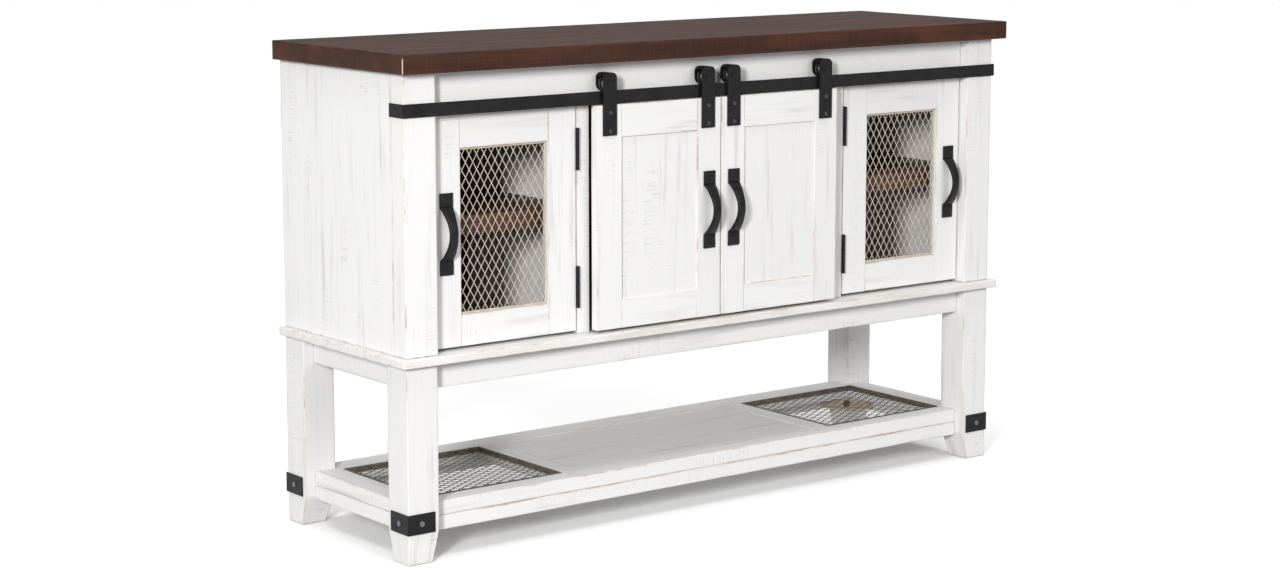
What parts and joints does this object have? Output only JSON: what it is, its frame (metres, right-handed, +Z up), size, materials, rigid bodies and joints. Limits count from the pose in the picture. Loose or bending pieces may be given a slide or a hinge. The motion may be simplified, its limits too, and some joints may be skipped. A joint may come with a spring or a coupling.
{
  "type": "sideboard buffet",
  "caption": "Farmhouse sideboard: dark plank top, distressed white cabinet with mesh hinged doors and barn doors sliding on a flat steel rail, bracketed legs and lower shelf with mesh inserts.",
  "frame": {"origin": "on the floor, under the middle of the outer box", "axes": "+X along the width, to the right for someone facing the doors; -Y out of the doors; +Z up"},
  "size_m": [1.524, 0.4808, 0.948],
  "materials": {
    "white_paint": "distressed white paint, rubbed through to tan wood at the edges",
    "dark_wood": "dark walnut stain with saw marks and a matte wax",
    "inner_wood": "dark stained wood",
    "black_steel": "satin black, lightly hammered",
    "pale_wire": "champagne expanded metal",
    "bronze_wire": "aged bronze expanded metal"
  },
  "bodies": {
    "root": {"top_slab": "dark_wood", "waist_ledge": "white_paint", "back_panel": "inner_wood", "header_rail": "white_paint", "lower_shelf": "white_paint", "barn_rail": "black_steel", "cabinet_end_left": "white_paint", "cabinet_end_right": "white_paint", "partition_left": "white_paint", "partition_right": "white_paint", "shelf_left": "inner_wood", "shelf_right": "inner_wood", "leg_fl": "white_paint", "leg_fr": "white_paint", "leg_bl": "white_paint", "leg_br": "white_paint", "corner_bracket_fl": "black_steel", "corner_bracket_fr": "black_steel", "corner_bracket_bl": "black_steel", "corner_bracket_br": "black_steel", "apron_front": "white_paint", "apron_back": "white_paint", "apron_left": "white_paint", "apron_right": "white_paint", "lower_rail_front": "white_paint", "lower_rail_back": "white_paint", "lower_rail_left": "white_paint", "lower_rail_right": "white_paint", "shelf_mesh_left": "bronze_wire", "shelf_mesh_right": "bronze_wire", "hinge_lower_left_fixed": "black_steel", "hinge_lower_right_fixed": "black_steel", "hinge_upper_left_fixed": "black_steel", "hinge_upper_right_fixed": "black_steel"},
    "mesh_door_left": {"mesh_door_frame_left": "white_paint", "mesh_panel_left": "pale_wire", "mesh_door_pull_left": "black_steel", "hinge_lower_left_leaf": "black_steel", "hinge_upper_left_leaf": "black_steel"},
    "barn_trolley_left": {"axle_left_outer": "black_steel", "axle_left_inner": "black_steel"},
    "barn_door_left": {"barn_door_panel_left": "white_paint", "barn_door_pull_left": "black_steel", "hanger_left_outer": "black_steel", "hanger_left_inner": "black_steel"},
    "roller_left_outer": {"roller_left_outer": "black_steel"},
    "roller_left_inner": {"roller_left_inner": "black_steel"},
    "mesh_door_right": {"mesh_door_frame_right": "white_paint", "mesh_panel_right": "pale_wire", "mesh_door_pull_right": "black_steel", "hinge_lower_right_leaf": "black_steel", "hinge_upper_right_leaf": "black_steel"},
    "barn_trolley_right": {"axle_right_outer": "black_steel", "axle_right_inner": "black_steel"},
    "barn_door_right": {"barn_door_panel_right": "white_paint", "barn_door_pull_right": "black_steel", "hanger_right_outer": "black_steel", "hanger_right_inner": "black_steel"},
    "roller_right_outer": {"roller_right_outer": "black_steel"},
    "roller_right_inner": {"roller_right_inner": "black_steel"}
  },
  "joints": [
    {"name": "mesh_door_left_hinge", "type": "hinge", "parent": "root", "child": "mesh_door_left", "pos_m": [-0.341, -0.1852, 0.6135], "axis": [0, 0, 1], "range_deg": [0, 95]},
    {"name": "mesh_door_right_hinge", "type": "hinge", "parent": "root", "child": "mesh_door_right", "pos_m": [0.341, -0.1852, 0.6135], "axis": [0, 0, -1], "range_deg": [0, 95]},
    {"name": "barn_door_left_slide", "type": "slide", "parent": "root", "child": "barn_trolley_left", "axis": [1, 0, 0], "range_m": [-0.3, 0]},
    {"name": "barn_door_left_sway", "type": "hinge", "parent": "barn_trolley_left", "child": "barn_door_left", "pos_m": [-0.162, -0.20115, 0.8698], "axis": [-1, 0, 0], "range_deg": [0, 2.5]},
    {"name": "roller_left_outer_spin", "type": "hinge", "parent": "barn_trolley_left", "child": "roller_left_outer", "pos_m": [-0.285, -0.2047, 0.8698], "axis": [0, 1, 0], "range_deg": [-1275, 0]},
    {"name": "roller_left_inner_spin", "type": "hinge", "parent": "barn_trolley_left", "child": "roller_left_inner", "pos_m": [-0.044, -0.2047, 0.8698], "axis": [0, 1, 0], "range_deg": [-1275, 0]},
    {"name": "barn_door_right_slide", "type": "slide", "parent": "root", "child": "barn_trolley_right", "axis": [-1, 0, 0], "range_m": [-0.3, 0]},
    {"name": "barn_door_right_sway", "type": "hinge", "parent": "barn_trolley_right", "child": "barn_door_right", "pos_m": [0.144, -0.20115, 0.8698], "axis": [-1, 0, 0], "range_deg": [0, 2.5]},
    {"name": "roller_right_outer_spin", "type": "hinge", "parent": "barn_trolley_right", "child": "roller_right_outer", "pos_m": [0.262, -0.2047, 0.8698], "axis": [0, 1, 0], "range_deg": [0, 1275]},
    {"name": "roller_right_inner_spin", "type": "hinge", "parent": "barn_trolley_right", "child": "roller_right_inner", "pos_m": [0.021, -0.2047, 0.8698], "axis": [0, 1, 0], "range_deg": [0, 1275]}
  ],
  "couplings": [
    {"joint": "roller_left_outer_spin", "follows": "barn_door_left_slide", "rad_per_m": 74.074},
    {"joint": "roller_left_inner_spin", "follows": "barn_door_left_slide", "rad_per_m": 74.074},
    {"joint": "roller_right_outer_spin", "follows": "barn_door_right_slide", "rad_per_m": -74.074},
    {"joint": "roller_right_inner_spin", "follows": "barn_door_right_slide", "rad_per_m": -74.074}
  ]
}
